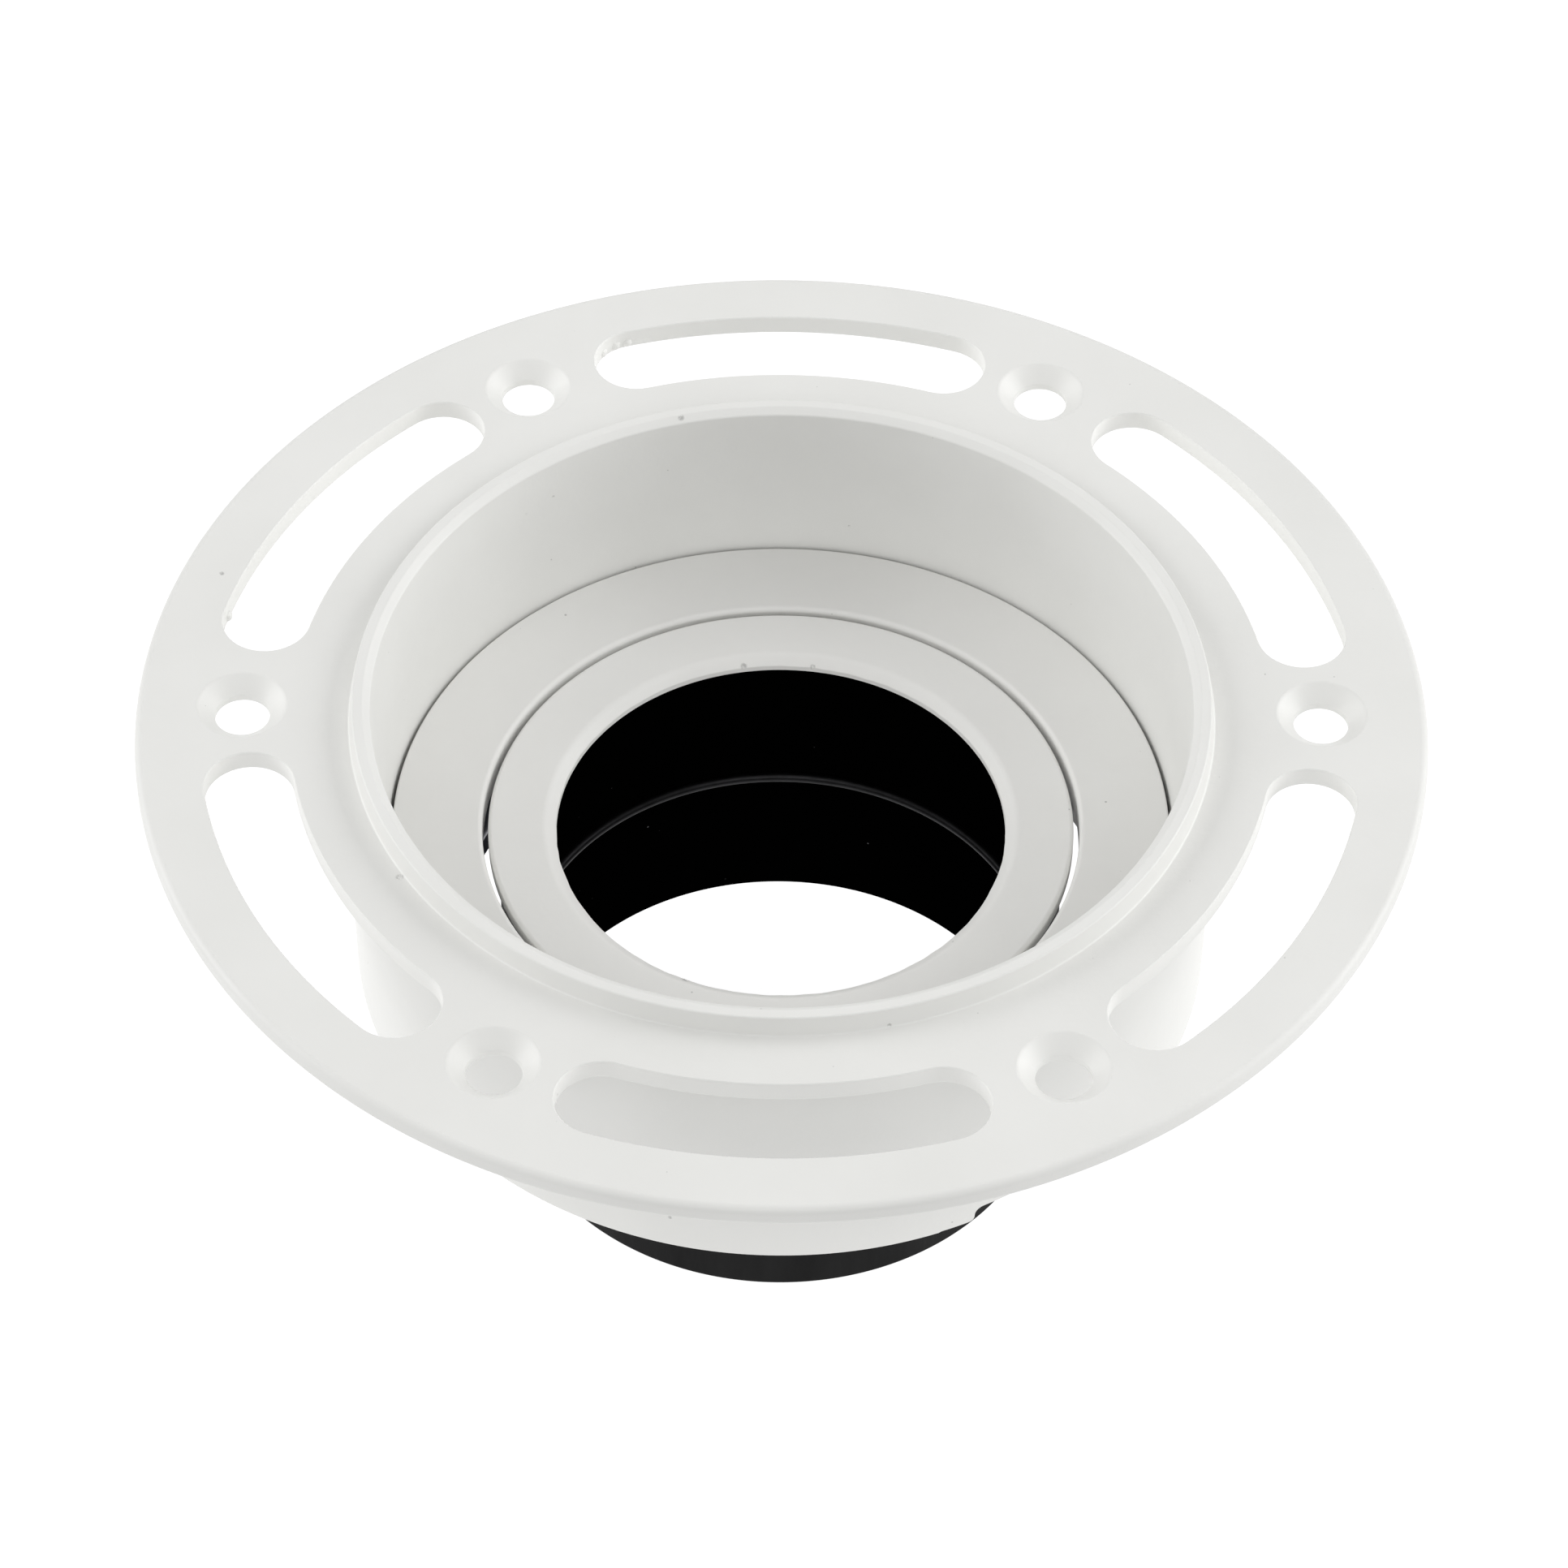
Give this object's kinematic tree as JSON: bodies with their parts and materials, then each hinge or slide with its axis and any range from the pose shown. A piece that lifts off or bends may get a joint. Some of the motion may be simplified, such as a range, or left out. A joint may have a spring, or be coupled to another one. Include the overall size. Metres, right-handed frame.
{
  "type": "plaster-in recessed downlight frame",
  "caption": "Trimless plaster-in downlight frame: slotted flange with a raised lip and a can that holds a swivelling, tilting lamp ring and tube.",
  "frame": {"origin": "on the can's axis, in the plane of the flange's back face, which bears on the ceiling board", "axes": "+Z out of the ceiling into the room, +X to the right and +Y away from the viewer in the rest view"},
  "size_m": [0.12, 0.12, 0.0539],
  "materials": {
    "frame_paint": "satin white",
    "carrier_paint": "satin white",
    "tilt_paint": "satin white",
    "tube_black": "matt black",
    "wire_black": "black oxide",
    "spring_steel": "blued spring steel",
    "rivet_aluminium": "plain",
    "pivot_zinc": "zinc plated",
    "washer_nylon": "matt",
    "earth_brass": "plain",
    "washer_zinc": "zinc plated"
  },
  "bodies": {
    "frame": {"frame_casting": "frame_paint", "earth_screw": "earth_brass", "earth_washer": "washer_zinc"},
    "carrier": {"carrier_ring": "carrier_paint", "retaining_spring_1": "spring_steel", "retaining_spring_2": "spring_steel", "retaining_spring_3": "spring_steel", "retaining_spring_4": "spring_steel", "spring_rivet_1": "rivet_aluminium", "spring_rivet_2": "rivet_aluminium", "spring_rivet_3": "rivet_aluminium", "spring_rivet_4": "rivet_aluminium", "spring_rivet_5": "rivet_aluminium", "spring_rivet_6": "rivet_aluminium", "spring_rivet_7": "rivet_aluminium", "spring_rivet_8": "rivet_aluminium", "pivot_screw_rear": "pivot_zinc", "pivot_screw_front": "pivot_zinc", "friction_washer_rear": "washer_nylon", "friction_washer_front": "washer_nylon"},
    "lamp_head": {"tilt_ring": "tilt_paint", "lamp_tube": "tube_black", "lamp_retaining_ring": "wire_black"}
  },
  "joints": [
    {"name": "swivel", "type": "hinge", "parent": "frame", "child": "carrier", "pos_m": [0, 0, -0.013], "axis": [0, 0, 1], "continuous": true},
    {"name": "tilt", "type": "hinge", "parent": "carrier", "child": "lamp_head", "pos_m": [0, 0, -0.017], "axis": [0, 1, 0], "range_deg": [-15, 15]}
  ]
}
